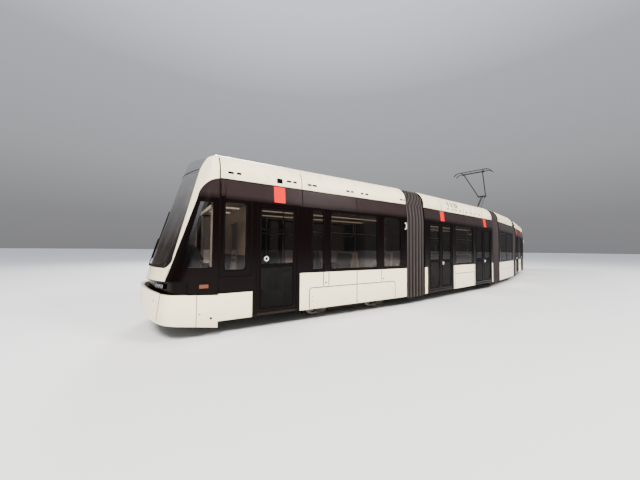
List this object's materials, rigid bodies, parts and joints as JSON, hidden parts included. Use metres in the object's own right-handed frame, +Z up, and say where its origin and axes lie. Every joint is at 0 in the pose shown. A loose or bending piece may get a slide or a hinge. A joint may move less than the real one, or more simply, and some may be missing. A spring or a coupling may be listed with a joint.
{
  "type": "articulated low-floor tram",
  "caption": "Bidirectional low-floor tram in jointed sections, with bellows, three bogies, plug doors and a raised single-arm pantograph.",
  "frame": {"origin": "middle of the centre section, on the track's centre line at the height of the rail top", "axes": "+X towards the leading cab, +Y to the tram's left, +Z up"},
  "size_m": [28.9957, 4.7468, 5.6867],
  "materials": {
    "cream_paint": "satin",
    "black_paint": "gloss",
    "dark_glass": "gloss",
    "door_frame": "gloss",
    "floor_grey": "matte",
    "interior": "matte",
    "bellows": "matte",
    "running_gear": "matte",
    "wheel_steel": "satin",
    "pantograph": "satin"
  },
  "bodies": {
    "middle_section": {"m3_floor": "floor_grey", "m3_podiums": "floor_grey", "m3_walls": "black_paint", "m3_skirts": "cream_paint", "m3_roof": "cream_paint", "m3_glass": "dark_glass", "m3_interior": "interior", "bellows_23": "bellows", "bellows_34": "bellows"},
    "front_hanging_section": {"m2_floor": "floor_grey", "m2_walls": "black_paint", "m2_skirts": "cream_paint", "m2_doors": "door_frame", "m2_roof": "cream_paint", "m2_glass": "dark_glass", "m2_interior": "interior"},
    "front_cab_section": {"m1_floor": "floor_grey", "m1_podiums": "floor_grey", "m1_walls": "black_paint", "m1_skirts": "cream_paint", "m1_doors": "door_frame", "m1_roof": "cream_paint", "m1_glass": "dark_glass", "m1_cab_band": "cream_paint", "m1_cab_sides": "black_paint", "m1_bumper": "cream_paint", "m1_interior": "interior", "bellows_12": "bellows"},
    "rear_hanging_section": {"m4_floor": "floor_grey", "m4_walls": "black_paint", "m4_skirts": "cream_paint", "m4_doors": "door_frame", "m4_roof": "cream_paint", "m4_glass": "dark_glass", "m4_interior": "interior"},
    "rear_cab_section": {"m5_floor": "floor_grey", "m5_podiums": "floor_grey", "m5_walls": "black_paint", "m5_skirts": "cream_paint", "m5_doors": "door_frame", "m5_roof": "cream_paint", "m5_glass": "dark_glass", "m5_cab_band": "cream_paint", "m5_cab_sides": "black_paint", "m5_bumper": "cream_paint", "m5_interior": "interior", "bellows_45": "bellows"},
    "front_bogie": {"bogie1_frame": "running_gear"},
    "front_wheelset_a": {"wheelset_1a": "wheel_steel"},
    "front_wheelset_b": {"wheelset_1b": "wheel_steel"},
    "middle_bogie": {"bogie3_frame": "running_gear"},
    "middle_wheelset_a": {"wheelset_3a": "wheel_steel"},
    "middle_wheelset_b": {"wheelset_3b": "wheel_steel"},
    "rear_bogie": {"bogie5_frame": "running_gear"},
    "rear_wheelset_a": {"wheelset_5a": "wheel_steel"},
    "rear_wheelset_b": {"wheelset_5b": "wheel_steel"},
    "pantograph_lower_arm": {"pan_lower": "pantograph"},
    "pantograph_upper_arm": {"pan_upper": "pantograph"},
    "pantograph_head": {"pan_head": "pantograph"},
    "pantograph_guide_rod": {"pan_rod": "pantograph"}
  },
  "joints": [
    {"name": "front_inner_articulation", "type": "hinge", "parent": "middle_section", "child": "front_hanging_section", "pos_m": [1.975, 0, 0.205], "axis": [0, 0, 1], "range_deg": [-7.6, 22.4], "deforming": ["bellows_23"]},
    {"name": "front_outer_articulation", "type": "hinge", "parent": "front_hanging_section", "child": "front_cab_section", "pos_m": [7.87544, -0.76633, 0.205], "axis": [0, 0, 1], "range_deg": [-9.6, 20.4], "deforming": ["bellows_12"]},
    {"name": "rear_inner_articulation", "type": "hinge", "parent": "middle_section", "child": "rear_hanging_section", "pos_m": [-1.975, 0, 0.205], "axis": [0, 0, 1], "range_deg": [-19.1, 10.9], "deforming": ["bellows_34"]},
    {"name": "rear_outer_articulation", "type": "hinge", "parent": "rear_hanging_section", "child": "rear_cab_section", "pos_m": [-7.90977, -0.42541, 0.205], "axis": [0, 0, 1], "range_deg": [-19.6, 10.4], "deforming": ["bellows_45"]},
    {"name": "front_bogie_yaw", "type": "hinge", "parent": "front_cab_section", "child": "front_bogie", "pos_m": [10.02077, -1.25374, 0.33], "axis": [0, 0, 1], "range_deg": [-3.5, 3.5]},
    {"name": "front_wheelset_a_spin", "type": "hinge", "parent": "front_bogie", "child": "front_wheelset_a", "pos_m": [10.92278, -1.45867, 0.3], "axis": [0.2215, 0.9751, 0], "continuous": true},
    {"name": "front_wheelset_b_spin", "type": "hinge", "parent": "front_bogie", "child": "front_wheelset_b", "pos_m": [9.11876, -1.04881, 0.3], "axis": [0.2215, 0.9751, 0], "continuous": true},
    {"name": "middle_bogie_yaw", "type": "hinge", "parent": "middle_section", "child": "middle_bogie", "pos_m": [0, 0, 0.33], "axis": [0, 0, 1], "range_deg": [-3.5, 3.5]},
    {"name": "middle_wheelset_a_spin", "type": "hinge", "parent": "middle_bogie", "child": "middle_wheelset_a", "pos_m": [0.925, 0, 0.3], "axis": [0, 1, 0], "continuous": true},
    {"name": "middle_wheelset_b_spin", "type": "hinge", "parent": "middle_bogie", "child": "middle_wheelset_b", "pos_m": [-0.925, 0, 0.3], "axis": [0, 1, 0], "continuous": true},
    {"name": "rear_bogie_yaw", "type": "hinge", "parent": "rear_cab_section", "child": "rear_bogie", "pos_m": [-10.08446, -0.75818, 0.33], "axis": [0, 0, 1], "range_deg": [-3.5, 3.5]},
    {"name": "rear_wheelset_a_spin", "type": "hinge", "parent": "rear_bogie", "child": "rear_wheelset_a", "pos_m": [-10.99882, -0.8981, 0.3], "axis": [0.1513, -0.9885, 0], "continuous": true},
    {"name": "rear_wheelset_b_spin", "type": "hinge", "parent": "rear_bogie", "child": "rear_wheelset_b", "pos_m": [-9.1701, -0.61827, 0.3], "axis": [0.1513, -0.9885, 0], "continuous": true},
    {"name": "pantograph_raise", "type": "hinge", "parent": "middle_section", "child": "pantograph_lower_arm", "pos_m": [0.2, 0, 3.54], "axis": [0, 1, 0], "range_deg": [-26, 6]},
    {"name": "pantograph_knee", "type": "hinge", "parent": "pantograph_lower_arm", "child": "pantograph_upper_arm", "pos_m": [-1.15, 0, 4.615], "axis": [0, 1, 0], "range_deg": [-11.2, 45.2]},
    {"name": "pantograph_head_level", "type": "hinge", "parent": "pantograph_upper_arm", "child": "pantograph_head", "pos_m": [0.5, 0, 5.57], "axis": [0, 1, 0], "range_deg": [-19.2, 5.2]},
    {"name": "pantograph_rod_swing", "type": "hinge", "parent": "middle_section", "child": "pantograph_guide_rod", "pos_m": [-0.075, 0.09, 3.51], "axis": [0, 1, 0], "range_deg": [-28.56, 7.36]}
  ],
  "couplings": [
    {"joint": "pantograph_knee", "follows": "pantograph_raise", "ratio": -1.7},
    {"joint": "pantograph_head_level", "follows": "pantograph_raise", "ratio": 0.7},
    {"joint": "pantograph_rod_swing", "follows": "pantograph_raise", "ratio": 1.06}
  ]
}
